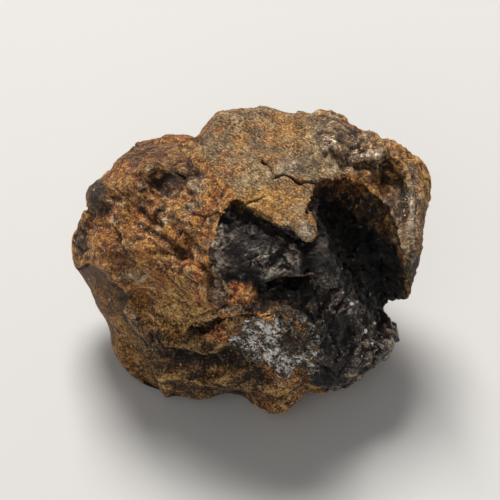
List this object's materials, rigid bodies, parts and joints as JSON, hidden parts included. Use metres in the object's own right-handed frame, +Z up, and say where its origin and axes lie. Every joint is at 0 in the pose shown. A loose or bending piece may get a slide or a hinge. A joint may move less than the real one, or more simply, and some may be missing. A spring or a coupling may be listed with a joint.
{
  "type": "iron meteorite",
  "caption": "Small weathered iron meteorite fragment with a rusty lumpy crust, a dark broken face under an overhanging lip, and a deep hollow beside a standing block.",
  "frame": {"origin": "middle of the bounding box, at the level of the flat spot that the stone rests on", "axes": "+Z up from the flat spot; +X along the longest extent, towards the standing block and the notch; -Y towards the broken face"},
  "size_m": [0.0272, 0.0198, 0.0203],
  "materials": {
    "rusted_iron": "rough rust-brown and ochre crust, charcoal fracture faces with small metallic glints"
  },
  "bodies": {
    "root": {"meteorite": "rusted_iron"}
  },
  "joints": []
}
